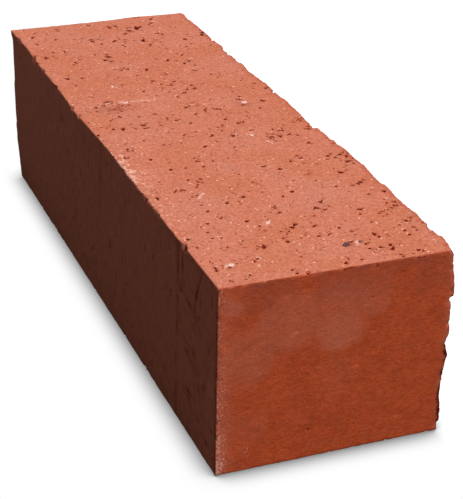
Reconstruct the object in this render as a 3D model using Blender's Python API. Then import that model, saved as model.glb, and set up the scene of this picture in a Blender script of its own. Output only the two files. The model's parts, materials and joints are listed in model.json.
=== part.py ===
"""A solid clay bar: one long wire-cut brick of fired clay, with coarse mineral grains in its top bed face.

Frame: +X across the width, +Y along the length from the front header to the rear header, +Z up.
The origin is the centre of the lower bed face. All lengths are in metres.

The clay column leaves the die along Z, and wires cut the two bed faces. So the top bed face is dragged
and pitted, and the left stretcher keeps upright grooves from the die. The right stretcher was torn by
the die, and its skin hangs in scales. Each grain is a separate mineral piece, and sits in its own socket
with a shrinkage gap all round.
"""

import math
import random

import bmesh
import bpy
from mathutils import Matrix, Vector, noise

MM = 0.001

# Driving dimensions of the fired body
LENGTH = 290 * MM
WIDTH = 90 * MM
HEIGHT = 76 * MM
ARRIS_RADIUS = 0.8 * MM

# Torn right stretcher
TORN_STEP_Y = 6.0 * MM
TORN_STEP_Z = 2.0 * MM
SCALE_PITCH = 17 * MM
SCALE_FIRST_STEP = 3.5 * MM
SCALE_DEPTH = 1.1 * MM
SCALE_DRIFT_LENGTH = 45 * MM
ROUGH_LENGTH = 7 * MM
ROUGH_DEPTH = 0.35 * MM
BURR_FROM_FRONT = 90 * MM
BURR_HALF_LENGTH = 34 * MM
BURR_HALF_HEIGHT = 9 * MM
BURR_DEPTH = 1.1 * MM
CORNER_WEAR_DEPTH = 2.8 * MM
CORNER_WEAR_LENGTH = 8 * MM
CORNER_WEAR_HEIGHT = 5 * MM

# Upright grooves that the die left in the left stretcher
GROOVES_FROM_FRONT = (38.2 * MM, 41.0 * MM, 138.0 * MM)
GROOVE_WIDTHS = (0.9 * MM, 0.7 * MM, 5.0 * MM)
GROOVE_DEPTHS = (0.35 * MM, 0.3 * MM, 0.3 * MM)

# Pits that the wire dragged out of the top bed face.
# Each pit: distance from the left side and from the front header, length and width, in millimetres
PITS = (
    (77.6, 4.3, 2.4, 1.6), (70.1, 11.5, 2.8, 1.5), (61.9, 11.0, 2.0, 1.6), (65.7, 10.7, 2.0, 1.3),
    (80.1, 16.5, 1.9, 1.5), (80.1, 20.3, 2.2, 1.3), (69.1, 18.7, 2.2, 1.2), (36.3, 25.6, 2.5, 1.9),
    (42.3, 36.0, 2.1, 1.7), (39.9, 33.2, 1.7, 1.2), (28.8, 46.2, 2.6, 1.6), (11.9, 42.0, 1.8, 1.4),
    (11.9, 37.0, 1.7, 1.3), (29.1, 4.8, 1.9, 1.3), (48.8, 3.6, 2.6, 1.2), (55.3, 4.2, 2.2, 1.2),
    (35.4, 66.7, 2.6, 2.1), (27.6, 63.4, 3.0, 1.3), (18.2, 58.9, 2.4, 1.3), (54.8, 64.8, 2.5, 1.7),
    (50.0, 62.0, 2.4, 1.2), (79.6, 62.9, 2.0, 1.5), (73.0, 63.9, 2.2, 1.3), (81.6, 53.4, 2.0, 1.2),
    (57.2, 48.6, 3.2, 1.1), (54.1, 42.4, 1.9, 1.2), (72.1, 30.8, 2.1, 1.2), (80.3, 34.8, 1.6, 1.3),
    (71.0, 38.1, 1.9, 1.2), (58.5, 29.9, 2.0, 1.3), (22.9, 82.8, 1.9, 1.2), (21.0, 88.4, 2.5, 1.2),
    (44.1, 78.4, 2.0, 1.3), (68.0, 71.6, 1.6, 1.3), (75.3, 86.8, 1.7, 1.3), (82.6, 93.0, 2.6, 1.4),
    (23.8, 158.2, 2.0, 1.8), (48.0, 153.8, 2.7, 1.5), (42.2, 144.4, 2.8, 1.3), (9.2, 148.2, 2.2, 1.4),
    (39.0, 118.0, 3.4, 1.5), (50.3, 113.8, 2.3, 1.2), (13.5, 112.0, 2.4, 1.7), (17.9, 100.0, 2.5, 1.8),
    (24.1, 99.8, 1.7, 1.3), (31.3, 98.8, 2.8, 1.2), (36.8, 103.0, 1.8, 1.3), (30.8, 108.2, 2.0, 1.3),
    (35.0, 132.5, 3.0, 1.1), (17.2, 131.9, 2.1, 1.5), (51.9, 132.2, 2.1, 1.2), (72.8, 126.8, 2.3, 1.3),
    (80.7, 108.4, 2.4, 1.5), (64.4, 139.0, 3.2, 1.1), (84.1, 131.6, 2.0, 1.4), (66.3, 92.6, 2.5, 1.4),
    (72.2, 95.0, 1.6, 1.3), (51.3, 179.9, 2.5, 1.3), (77.2, 151.9, 2.8, 1.2), (43.2, 258.2, 2.8, 1.6),
    (37.0, 264.1, 2.3, 1.7), (46.6, 262.8, 1.9, 1.2), (53.3, 256.8, 2.4, 1.1), (69.6, 261.0, 3.0, 1.2),
    (81.0, 257.2, 2.0, 1.5), (29.0, 242.6, 2.5, 1.4), (66.8, 231.5, 1.9, 1.6), (54.7, 227.5, 1.8, 1.4),
    (38.2, 218.7, 2.1, 1.3), (69.3, 213.4, 2.0, 1.5), (69.0, 207.2, 1.7, 1.4), (30.0, 208.2, 2.3, 1.2),
    (39.0, 207.9, 2.0, 1.4), (8.8, 204.0, 2.0, 1.3), (46.0, 193.7, 2.2, 1.4), (58.5, 188.1, 2.6, 1.6),
    (35.4, 187.4, 2.1, 1.5), (72.0, 199.2, 2.0, 1.4), (55.4, 275.3, 3.2, 1.0),
)
PIT_SEED = 7
PIT_DEPTH_SHARE = 0.55
DRAG_ANGLE = math.radians(60)
DRAG_SCATTER = math.radians(18)

# Grains and their sockets
GRAIN_GAP = 0.3 * MM
GRAIN_TOP_BELOW_BED = 0.1 * MM
PEBBLE_JITTER = 0.16
GRAIN_DEPTH_SHARE = 0.55
SOCKET_MOUTH_RISE = 0.15 * MM

# Each grain: name, mineral, distance from the left side and from the front header, length, width, turn
GRAINS = (
    ("white_grain_front_left", "quartz", 10.6, 14.6, 2.9, 2.2, 50),
    ("pale_grit_front_left", "lime", 19.4, 11.2, 2.0, 1.6, 20),
    ("white_splinter_front", "quartz", 35.4, 42.1, 3.4, 1.7, 48),
    ("slag_nodule_front", "slag", 55.0, 16.2, 3.3, 2.7, 60),
    ("grey_grain_front", "flint", 61.0, 16.8, 3.0, 2.3, 55),
    ("pale_grain_front_right", "lime", 71.6, 23.4, 2.5, 2.0, -35),
    ("pale_grain_beside_pit", "lime", 65.0, 44.0, 2.4, 1.9, 70),
    ("pale_grain_left", "lime", 25.4, 57.3, 2.8, 2.0, 40),
    ("grey_grain_right", "flint", 59.8, 74.0, 2.8, 2.2, 65),
    ("white_grain_with_scratch", "quartz", 61.9, 123.0, 2.8, 2.0, 62),
    ("pale_grain_left_edge", "lime", 11.0, 144.4, 2.6, 1.9, 75),
    ("white_pebble_right", "quartz", 73.2, 160.0, 3.8, 2.7, 55),
    ("pale_grain_middle", "lime", 56.3, 164.4, 2.6, 2.1, -20),
    ("pale_grit_middle", "lime", 50.4, 164.4, 2.0, 1.7, 30),
    ("white_grain_in_patch", "quartz", 23.5, 176.0, 2.7, 2.0, 60),
    ("white_splinter_left", "quartz", 23.8, 196.8, 3.2, 1.7, 66),
    ("pale_grit_rear", "lime", 48.4, 203.4, 2.0, 1.6, 45),
    ("pale_splinter_rear", "lime", 58.8, 252.3, 3.0, 1.7, 68),
    ("white_grain_rear", "quartz", 70.0, 266.0, 3.0, 2.0, 72),
)

# Material: linear colour and roughness
CLAY = ((0.52, 0.165, 0.085), 0.88)
MINERALS = {
    "quartz": ((0.78, 0.66, 0.60), 0.45),
    "lime": ((0.72, 0.42, 0.30), 0.75),
    "flint": ((0.33, 0.27, 0.30), 0.40),
    "slag": ((0.045, 0.045, 0.075), 0.20),
}


def clear_scene():
    """Remove every object, so that the part is all that the file holds."""
    for old in list(bpy.data.objects):
        bpy.data.objects.remove(old)


def make_material(name, colour, roughness):
    """A Principled material of one colour."""
    material = bpy.data.materials.new(name)
    material.use_nodes = True
    shader = material.node_tree.nodes["Principled BSDF"]
    shader.inputs["Base Color"].default_value = (*colour, 1.0)
    shader.inputs["Roughness"].default_value = roughness
    shader.inputs["Metallic"].default_value = 0.0
    return material


def add_object(name, bm, material=None):
    """Turn a bmesh into a named object in the scene."""
    mesh = bpy.data.meshes.new(name)
    bm.to_mesh(mesh)
    bm.free()
    if material:
        mesh.materials.append(material)
    made = bpy.data.objects.new(name, mesh)
    bpy.context.scene.collection.objects.link(made)
    return made


def hide_cutter(cutter):
    """Mark an object as a cutter: drawn as wire and never part of the model."""
    cutter.hide_render = True
    cutter.display_type = "WIRE"


def cut(body, cutter):
    """Subtract one cutter object from the body."""
    hide_cutter(cutter)
    modifier = body.modifiers.new(cutter.name, "BOOLEAN")
    modifier.operation = "DIFFERENCE"
    modifier.solver = "EXACT"
    modifier.object = cutter


def on_bed(from_left, from_front, height=HEIGHT):
    """A point given by its distances from the left side and the front header."""
    return Vector((from_left - WIDTH / 2, from_front - LENGTH / 2, height))


# ---------------------------------------------------------------- fired body


def block():
    """The square block with its arrises rounded off."""
    bm = bmesh.new()
    bmesh.ops.create_cube(bm, size=1.0)
    bmesh.ops.scale(bm, vec=(WIDTH, LENGTH, HEIGHT), verts=bm.verts)
    bmesh.ops.translate(bm, vec=(0, 0, HEIGHT / 2), verts=bm.verts)
    bmesh.ops.bevel(
        bm, geom=bm.edges[:], offset=ARRIS_RADIUS, segments=2, profile=0.5, affect="EDGES"
    )
    return bm


def even_steps(low, high, step):
    """Evenly spaced cuts between two limits, about one step apart, without the limits."""
    count = round((high - low) / step)
    return [low + (high - low) * i / count for i in range(1, count)]


def slice_right_side(bm, positions, direction):
    """Cut the right stretcher and its arrises across one direction, leaving the other faces whole."""
    for position in positions:
        bm.normal_update()
        faces = [f for f in bm.faces if f.normal.x > 0.1]
        edges = {e for f in faces for e in f.edges}
        verts = {v for f in faces for v in f.verts}
        bmesh.ops.bisect_plane(
            bm,
            geom=faces + list(edges) + list(verts),
            dist=1e-7,
            plane_co=direction * position,
            plane_no=direction,
        )


def scale_drift(from_front):
    """How many scale pitches the torn scales have wandered up or down, this far along the brick."""
    return noise.noise(Vector((0.5, from_front / SCALE_DRIFT_LENGTH, 3.5)))


def torn_offset(y, z):
    """How far the torn skin stands off the square face: scales that swell downwards, then step back."""
    from_front = y + LENGTH / 2
    from_top = HEIGHT - z
    drift = scale_drift(from_front) - scale_drift(0.0)
    swell = ((from_top - SCALE_FIRST_STEP) / SCALE_PITCH + drift) % 1.0 - 0.5
    rough = noise.noise(Vector((8.0, from_front / ROUGH_LENGTH, from_top / ROUGH_LENGTH)))
    along = (from_front - BURR_FROM_FRONT) / BURR_HALF_LENGTH
    burr = math.exp(-along * along - from_top / BURR_HALF_HEIGHT)
    wear = math.exp(-from_front / CORNER_WEAR_LENGTH - from_top / CORNER_WEAR_HEIGHT)
    return SCALE_DEPTH * swell + ROUGH_DEPTH * rough + BURR_DEPTH * burr - CORNER_WEAR_DEPTH * wear


def tear_right_side(bm):
    """Give the right stretcher and its arrises their torn skin. Only X moves, so beds and headers stay flat."""
    inner_edge = WIDTH / 2 - ARRIS_RADIUS * 1.01
    for vert in bm.verts:
        if vert.co.x > inner_edge:
            vert.co.x += torn_offset(vert.co.y, vert.co.z)


def make_body(material):
    """The fired body before its sockets, pits and grooves are cut."""
    bm = block()
    half_length = LENGTH / 2 - ARRIS_RADIUS
    slice_right_side(bm, even_steps(-half_length, half_length, TORN_STEP_Y), Vector((0, 1, 0)))
    slice_right_side(
        bm, even_steps(ARRIS_RADIUS, HEIGHT - ARRIS_RADIUS, TORN_STEP_Z), Vector((0, 0, 1))
    )
    tear_right_side(bm)
    return add_object("brick_body", bm, material)


# ---------------------------------------------------------------- grooves and pits


def groove_cutters():
    """Upright three-sided bars that cut the die grooves into the left stretcher."""
    bm = bmesh.new()
    reach = 2 * MM
    for from_front, width, depth in zip(GROOVES_FROM_FRONT, GROOVE_WIDTHS, GROOVE_DEPTHS):
        y = from_front - LENGTH / 2
        flare = width / 2 * (depth + reach) / depth
        outline = (
            (-WIDTH / 2 - reach, y - flare),
            (-WIDTH / 2 + depth, y),
            (-WIDTH / 2 - reach, y + flare),
        )
        base = bm.faces.new([bm.verts.new((x, side, -reach)) for x, side in outline])
        raised = bmesh.ops.extrude_face_region(bm, geom=[base])
        top = [item for item in raised["geom"] if isinstance(item, bmesh.types.BMVert)]
        bmesh.ops.translate(bm, vec=(0, 0, HEIGHT + 2 * reach), verts=top)
    bmesh.ops.recalc_face_normals(bm, faces=bm.faces)
    return add_object("die_groove_cutters", bm)


def add_pebble(bm, place, half_size, turn, draw):
    """Add one irregular rounded pebble to a bmesh."""
    placing = Matrix.LocRotScale(place, Matrix.Rotation(turn, 3, "Z"), half_size)
    made = bmesh.ops.create_icosphere(bm, subdivisions=2, radius=1.0)
    for vert in made["verts"]:
        vert.co = placing @ (vert.co * (1.0 + draw.uniform(-PEBBLE_JITTER, PEBBLE_JITTER)))


def pit_cutters():
    """One pebble for each drag pit, centred on the bed plane and turned along the drag."""
    bm = bmesh.new()
    draw = random.Random(PIT_SEED)
    for from_left, from_front, length, width in PITS:
        place = on_bed(from_left * MM, from_front * MM)
        half_size = Vector((length / 2, width / 2, width * PIT_DEPTH_SHARE)) * MM
        turn = DRAG_ANGLE + draw.uniform(-DRAG_SCATTER, DRAG_SCATTER)
        add_pebble(bm, place, half_size, turn, draw)
    return add_object("drag_pit_cutters", bm)


# ---------------------------------------------------------------- grains


def grain_shape(spec):
    """Place, half sizes and turn of a grain, from its row in the table."""
    _, _, from_left, from_front, length, width, turn = spec
    half_size = Vector((length / 2, width / 2, width * GRAIN_DEPTH_SHARE)) * MM
    place = on_bed(from_left * MM, from_front * MM, HEIGHT - GRAIN_GAP)
    return place, half_size, math.radians(turn)


def make_grain(spec, seed, material):
    """One mineral grain, sheared flat by the wire just below the bed plane."""
    place, half_size, turn = grain_shape(spec)
    bm = bmesh.new()
    add_pebble(bm, place, half_size, turn, random.Random(seed))
    sheared = bmesh.ops.bisect_plane(
        bm,
        geom=bm.verts[:] + bm.edges[:] + bm.faces[:],
        dist=1e-7,
        plane_co=(0, 0, HEIGHT - GRAIN_TOP_BELOW_BED),
        plane_no=(0, 0, 1),
        clear_outer=True,
    )
    rim = [item for item in sheared["geom_cut"] if isinstance(item, bmesh.types.BMEdge)]
    bmesh.ops.edgeloop_fill(bm, edges=rim)
    bmesh.ops.recalc_face_normals(bm, faces=bm.faces)
    return add_object(spec[0], bm, material)


def socket_cutters():
    """The hollows that the grains sit in: the same pebbles, grown by the gap and raised to open the mouth."""
    bm = bmesh.new()
    for seed, spec in enumerate(GRAINS):
        place, half_size, turn = grain_shape(spec)
        place.z += SOCKET_MOUTH_RISE
        grown = half_size + Vector((1, 1, 1)) * (GRAIN_GAP + SOCKET_MOUTH_RISE)
        add_pebble(bm, place, grown, turn, random.Random(seed))
    return add_object("socket_cutters", bm)


# ---------------------------------------------------------------- whole part


def build():
    """Make the fired body, cut its hollows, and seat the grains."""
    clear_scene()
    body = make_body(make_material("fired_clay", *CLAY))
    cut(body, socket_cutters())
    cut(body, pit_cutters())
    cut(body, groove_cutters())
    minerals = {name: make_material(name, *look) for name, look in MINERALS.items()}
    for seed, spec in enumerate(GRAINS):
        make_grain(spec, seed, minerals[spec[1]])


build()
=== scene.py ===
"""Looks of the solid clay bar: the fired body as one dense sculpted mesh, and its mineral grains.

The body starts as a fine lattice over the nominal block. Each side gets a height field in millimetres:
first the relief of the CAD body, read by casting rays at it, then the fine marks of how that side was made.
Arrises are rounded by an uneven radius, chipped and rippled. Point attributes carry what the material needs.
"""

import json
import math

import bpy
import numpy as np
from mathutils import Matrix, Vector
from mathutils.bvhtree import BVHTree


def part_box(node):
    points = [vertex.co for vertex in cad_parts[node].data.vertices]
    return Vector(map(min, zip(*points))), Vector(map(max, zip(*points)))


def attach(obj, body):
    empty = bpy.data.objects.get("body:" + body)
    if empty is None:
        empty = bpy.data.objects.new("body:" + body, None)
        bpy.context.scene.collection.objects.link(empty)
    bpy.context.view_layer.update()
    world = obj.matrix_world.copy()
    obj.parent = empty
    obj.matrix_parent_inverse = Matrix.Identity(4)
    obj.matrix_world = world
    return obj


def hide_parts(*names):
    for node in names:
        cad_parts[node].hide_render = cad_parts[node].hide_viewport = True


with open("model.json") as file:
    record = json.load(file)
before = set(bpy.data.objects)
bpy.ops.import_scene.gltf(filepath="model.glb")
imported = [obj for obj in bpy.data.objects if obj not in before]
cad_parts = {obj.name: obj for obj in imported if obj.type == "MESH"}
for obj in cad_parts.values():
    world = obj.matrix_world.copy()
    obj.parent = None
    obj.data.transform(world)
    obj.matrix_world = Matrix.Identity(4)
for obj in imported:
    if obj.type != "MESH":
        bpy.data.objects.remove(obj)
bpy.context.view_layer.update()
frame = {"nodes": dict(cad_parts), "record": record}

MM = 0.001
BODY_NODE = "brick_body"
GRAIN_NODES = sorted(set(frame["nodes"]) - {BODY_NODE})

# The nominal block, in millimetres. The CAD origin is the middle of the lower bed, and the left side is
# true, so the block's own coordinates start at its lower front left corner.
body_low, body_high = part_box(BODY_NODE)
WIDTH = -2 * body_low.x / MM
LENGTH = (body_high.y - body_low.y) / MM
HEIGHT = body_high.z / MM
SIZE = np.array([WIDTH, LENGTH, HEIGHT])
CORNER = np.array([-WIDTH / 2, -LENGTH / 2, 0.0])

# Lattice of the sculpted body, in millimetres
STEP = np.array([0.40, 0.42, 0.50])
ARRIS_BAND = 1.6
ARRIS_STEP = 0.22
FACES_KEPT = 196_000

# Rays are cast at the CAD body from this far out, and no nearer than this to its arrises
RAY_REACH = 4.0
RAY_INSET = 1.0

# The wires dragged the clay of both beds this way
DRAG_ANGLE = math.radians(60)

# How many small pits each side gets, upright ticks the left side, and pits the violet patch of the top bed
TOP_PITS, BOTTOM_PITS, HEADER_PITS, DIE_PITS, TORN_PITS = 740, 300, 60, 90, 320
DIE_TICKS = 170
PATCH_PITS = 36

# The torn right side carries the beds and headers along with it, up to this far in from its arrises
TORN_REACH = 14.0

# Depth of the CAD body's pits at which they are fully dark: painted shade in them, over clay that is darker
# inside
CAD_PIT_DEPTH = 0.6

# The die's grooves in the left side: a narrow pair, worn faint, and a wide one that fades at the foot
NARROW_PAIR = 39.6
WIDE_GROOVE = 138.0

# How far the torn skin stands out in the mean, and how much further near the top bed
TORN_RISE = 0.35
TORN_LEAN = 0.9

# Where the scales along the upper right arris end, from the front, and how far each end stands out
SCALE_ENDS = (
    (59.5, 1.0),
    (80.0, 0.5),
    (107.5, 0.9),
    (122.0, 1.1),
    (159.0, 1.0),
    (181.0, 0.9),
    (209.5, 1.2),
)
SCALE_FADE = 8.0

# Dark marks on the left side, as (from the front, height): start, end, width, darkness and bow
DIE_MARKS = (
    # the line along the narrow pair, broken in places
    ((40.1, 76.0), (40.6, 57.0), 0.9, 1.00, 0.0),
    ((40.6, 54.0), (41.3, 36.0), 0.8, 0.75, 0.0),
    ((41.3, 38.0), (42.2, 20.0), 0.7, 0.50, 0.0),
    ((42.1, 27.5), (42.4, 23.0), 0.9, 0.85, 0.0),
    ((42.3, 16.0), (42.7, 0.0), 0.9, 0.95, 0.0),
    ((34.3, 76.0), (36.8, 56.0), 0.8, 0.85, 0.3),
    ((38.2, 49.0), (38.3, 42.0), 0.8, 0.70, 0.0),
    ((35.7, 48.5), (35.8, 43.5), 0.6, 0.50, 0.0),
    # the slanting scrape nearer to the front, and short upright ones
    ((14.8, 75.0), (24.2, 52.0), 1.0, 0.95, 0.9),
    ((16.6, 67.0), (16.8, 59.0), 0.7, 0.60, 0.0),
    ((11.3, 33.0), (12.2, 27.0), 1.0, 0.80, 0.0),
    ((12.4, 29.0), (12.3, 19.0), 0.8, 0.45, 0.0),
    ((15.8, 28.0), (16.0, 20.0), 0.7, 0.40, 0.0),
    ((7.4, 50.0), (8.2, 45.0), 1.0, 0.80, 0.0),
    ((8.6, 46.0), (8.9, 34.0), 0.8, 0.50, 0.0),
    # chatter marks
    ((40.0, 56.5), (30.5, 56.2), 0.8, 0.75, -0.8),
    ((31.5, 56.0), (15.0, 49.0), 1.0, 0.90, -1.2),
    ((19.6, 55.2), (17.4, 54.6), 1.0, 0.85, 0.0),
    ((15.0, 54.8), (1.0, 53.6), 0.7, 0.55, 0.0),
    ((40.0, 38.8), (30.0, 38.6), 0.8, 0.75, -0.5),
    ((31.0, 38.8), (15.5, 31.5), 0.8, 0.60, -1.6),
    ((32.5, 36.0), (18.0, 30.8), 1.0, 0.95, 0.7),
    ((14.4, 29.8), (12.4, 28.6), 1.0, 0.90, 0.0),
    ((35.2, 17.0), (22.6, 17.8), 0.8, 0.75, -1.6),
    ((33.0, 16.6), (23.6, 11.6), 0.9, 0.75, -1.2),
    ((20.2, 11.8), (16.2, 13.2), 1.0, 0.85, 0.0),
    ((16.0, 10.6), (3.6, 8.2), 0.8, 0.60, 1.0),
    ((15.8, 17.6), (3.0, 16.0), 0.7, 0.50, 0.0),
    ((5.2, 16.4), (3.6, 15.8), 0.9, 0.85, 0.0),
)

# Chalk on the top bed: centre, radii and strength
CHALK_SPOTS = (
    ((0.0, 108.0), (5.0, 21.0), 1.40),
    ((3.0, 100.0), (8.0, 38.0), 0.68),
    ((19.0, 177.2), (13.0, 2.2), 1.00),
    ((2.0, 60.0), (5.0, 26.0), 0.48),
)

# Faint lilac haze on the top bed: centre, radii, turn and strength
BED_HAZE = (
    ((61.5, 55.0), (14.0, 7.0), 1.0, 1.0),
    ((17.0, 66.0), (10.0, 12.0), 0.0, 0.8),
    ((39.0, 93.0), (5.0, 5.0), 0.0, 1.0),
    ((21.0, 152.0), (12.0, 13.0), 0.0, 0.6),
)

# White scratches and smears on the top bed: start, end, width and strength
TOP_SCRATCHES = (
    ((18.4, 70.0), (23.2, 75.6), 0.55, 1.0),
    ((9.5, 175.0), (22.5, 176.4), 0.50, 0.60),
    ((25.0, 177.0), (37.4, 175.4), 0.60, 1.00),
    ((54.8, 164.0), (57.6, 163.9), 0.70, 0.8),
    ((39.0, 166.4), (41.8, 166.3), 0.65, 0.6),
    ((48.6, 164.9), (51.4, 164.8), 0.65, 0.6),
    ((18.9, 10.4), (19.9, 11.4), 0.75, 1.1),
    ((37.5, 4.0), (38.4, 4.8), 0.65, 0.8),
    ((58.7, 14.4), (60.0, 17.8), 0.70, 1.1),
    ((62.9, 126.0), (64.4, 133.0), 0.32, 0.8),
    ((65.3, 117.0), (67.3, 111.0), 0.32, 0.9),
    ((34.0, 40.0), (37.0, 44.0), 0.50, 0.9),
    ((39.0, 20.0), (40.4, 25.0), 0.40, 0.7),
    ((72.6, 27.0), (74.6, 31.0), 0.35, 0.7),
    ((81.0, 26.0), (79.6, 30.0), 0.35, 0.6),
)

# Pits torn open beside a grain of the top bed: centre and half length
PITS_BESIDE_GRAINS = (
    ((61.9, 14.6), 0.9),
    ((71.2, 157.4), 0.9),
    ((9.2, 13.2), 0.7),
)

# Violet haloes round two grains of the top bed: centre, radii and turn
GRAIN_HALOES = (
    ((72.5, 158.0), (2.4, 3.4), 0.9),
    ((56.4, 15.4), (1.7, 1.7), 0.0),
)

# Discs of pale haze on the front header: centre, radius and strength
HAZE_DISCS = (
    ((46.4, 52.0), 8.8, 1.0),
    ((27.0, 59.0), 12.0, 0.80),
    ((47.0, 64.0), 10.0, 0.72),
    ((60.0, 61.0), 6.0, 0.62),
    ((60.0, 68.0), 6.0, 0.42),
    ((9.8, 47.5), 12.0, 0.72),
    ((5.4, 68.0), 4.4, 0.90),
    ((46.0, 33.0), 8.5, 0.22),
    ((13.0, 18.0), 7.0, 0.28),
)

# Small dark and pale spots on the front header: centre and radii
HEADER_DARK_SPOTS = (
    ((70.4, 30.6), (0.7, 1.8)),
    ((49.0, 7.5), (1.0, 0.8)),
    ((84.0, 47.5), (0.8, 0.6)),
)
HEADER_PALE_SPOTS = (
    ((12.2, 57.5), (0.35, 1.3)),
    ((22.5, 31.9), (0.5, 0.8)),
    ((11.5, 8.0), (1.0, 2.4)),
)

# Breaks larger than the chips: a point on an arris, the way the broken face looks, depth, reach and chalk
BREAKS = (
    ((0, 290, 0), (-0.22, 0.92, -0.32), 6.5, 30, 0.0),
    ((0, 290, 61), (-0.45, 0.90, 0.0), 1.5, 10, 0.0),
    ((0, 34, 76), (-1.0, 0.15, 0.25), 1.2, 2.4, 0.0),
    ((0, 247, 76), (-1.0, 0.2, 0.3), 1.3, 3.2, 0.0),
    ((0, 275, 76), (-1.0, 0.1, 0.3), 0.9, 4.0, 0.0),
    ((0, 98, 76), (-0.8, 0.0, 1.0), 0.6, 4.0, 1.0),
    ((0, 112, 76), (-0.8, 0.0, 1.0), 0.7, 4.5, 1.0),
    ((90, 0, 76), (1.0, -0.2, 0.8), 1.2, 4.0, 0.0),
)

# The twelve arrises: start, end, outward diagonal, number of chips and the largest chip's reach. The upper
# left one has no chips near the front.
ARRISES = (
    ((0, 60, HEIGHT), (0, LENGTH, HEIGHT), (-1.3, 0, 0.5), 38, 2.3),
    ((WIDTH, 0, HEIGHT), (WIDTH, LENGTH, HEIGHT), (1, 0, 1), 14, 2.0),
    ((0, 0, HEIGHT), (WIDTH, 0, HEIGHT), (0, -1, 1), 6, 1.2),
    ((0, LENGTH, HEIGHT), (WIDTH, LENGTH, HEIGHT), (0, 1, 1), 6, 1.5),
    ((0, 0, 0), (0, 0, HEIGHT), (-1, -1, 0), 8, 1.3),
    ((WIDTH, 0, 0), (WIDTH, 0, HEIGHT), (1, -1, 0), 8, 1.8),
    ((0, LENGTH, 0), (0, LENGTH, HEIGHT), (-1, 1, 0), 8, 2.4),
    ((WIDTH, LENGTH, 0), (WIDTH, LENGTH, HEIGHT), (1, 1, 0), 10, 2.6),
    ((0, 0, 0), (0, LENGTH, 0), (-1, 0, -1), 20, 2.0),
    ((WIDTH, 0, 0), (WIDTH, LENGTH, 0), (1, 0, -1), 20, 2.6),
    ((0, 0, 0), (WIDTH, 0, 0), (0, -1, -1), 5, 0.9),
    ((0, LENGTH, 0), (WIDTH, LENGTH, 0), (0, 1, -1), 8, 2.2),
)
SMALLEST_CHIP = 0.8

# The sides across each axis
SIDE_PAIRS = (("left", "right"), ("front", "rear"), ("bottom", "top"))

# Where the upper left arris wanders: the middle of each bulge, its half length, and how far out it stands
ARRIS_BULGES = ((172.0, 16.0, 0.8), (116.0, 24.0, -0.55), (262.0, 14.0, -0.7))


# ---- noise


NOISE_TILE = 256


def gradient_noise(u, v, seed):
    """Smooth noise between about -1 and 1, with cells one unit wide."""
    angles = np.random.default_rng(seed).uniform(0, 2 * np.pi, (NOISE_TILE, NOISE_TILE))
    cell_u, cell_v = np.floor(u).astype(int), np.floor(v).astype(int)
    in_u, in_v = u - cell_u, v - cell_v
    ease_u, ease_v = (t * t * t * (t * (t * 6 - 15) + 10) for t in (in_u, in_v))
    total = 0.0
    for du in (0, 1):
        for dv in (0, 1):
            angle = angles[(cell_u + du) % NOISE_TILE, (cell_v + dv) % NOISE_TILE]
            slope = np.cos(angle) * (in_u - du) + np.sin(angle) * (in_v - dv)
            total = total + slope * (ease_u if du else 1 - ease_u) * (ease_v if dv else 1 - ease_v)
    return total * 1.5


def fractal(u, v, size, octaves, seed):
    """Noise whose largest features are size millimetres across, each octave half the size and strength."""
    total, weight = 0.0, 0.0
    for octave in range(octaves):
        share = 0.5**octave
        total = total + share * gradient_noise(u / (size * share), v / (size * share), seed + octave)
        weight += share
    return total / weight


def turned(u, v, angle):
    """Coordinates along and across a direction."""
    along = u * math.cos(angle) + v * math.sin(angle)
    across = -u * math.sin(angle) + v * math.cos(angle)
    return along, across


def streaks(u, v, angle, length, width, seed):
    """Noise drawn out along one direction."""
    along, across = turned(u, v, angle)
    return gradient_noise(along / length, across / width, seed)


def smooth_step(low, high, value):
    """0 below low, 1 above high, eased between. Low may be above high."""
    t = np.clip((value - low) / (high - low), 0, 1)
    return t * t * (3 - 2 * t)


def bell(value, middle, width):
    """1 at the middle, and falling off on both sides over about the width."""
    return np.exp(-(((value - middle) / width) ** 2))


# ---- sides


class Side:
    """One face of the block: its lattice coordinates in millimetres, and the fields sculpted on it."""

    def __init__(self, u_lines, v_lines):
        self.u, self.v = np.meshgrid(u_lines, v_lines, indexing="ij")
        for field in ("height", "hollow", "pale", "haze", "stain"):
            setattr(self, field, np.zeros_like(self.u))

    def window(self, centre_u, centre_v, reach):
        """The slice of the lattice within reach of a point."""
        u_lines, v_lines = self.u[:, 0], self.v[0]
        low_u, high_u = np.searchsorted(u_lines, (centre_u - reach, centre_u + reach))
        low_v, high_v = np.searchsorted(v_lines, (centre_v - reach, centre_v + reach))
        return slice(low_u, high_u), slice(low_v, high_v)

    def mark(self, **fields):
        """Raise fields to at least these values."""
        for name, value in fields.items():
            setattr(self, name, np.maximum(getattr(self, name), value))


def lattice_lines(length, step):
    """Coordinates along one edge of the block, closer together in the bands at the arrises."""
    band = np.arange(0, ARRIS_BAND, ARRIS_STEP)
    count = round((length - 2 * ARRIS_BAND) / step)
    middle = np.linspace(ARRIS_BAND, length - ARRIS_BAND, count + 1)
    return np.concatenate([band, middle, (length - band)[::-1]])


def right_share(x):
    """How much a point moves with the torn right side: 1 at the side, 0 well inside the block."""
    return smooth_step(WIDTH - TORN_REACH, WIDTH, x)


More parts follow.
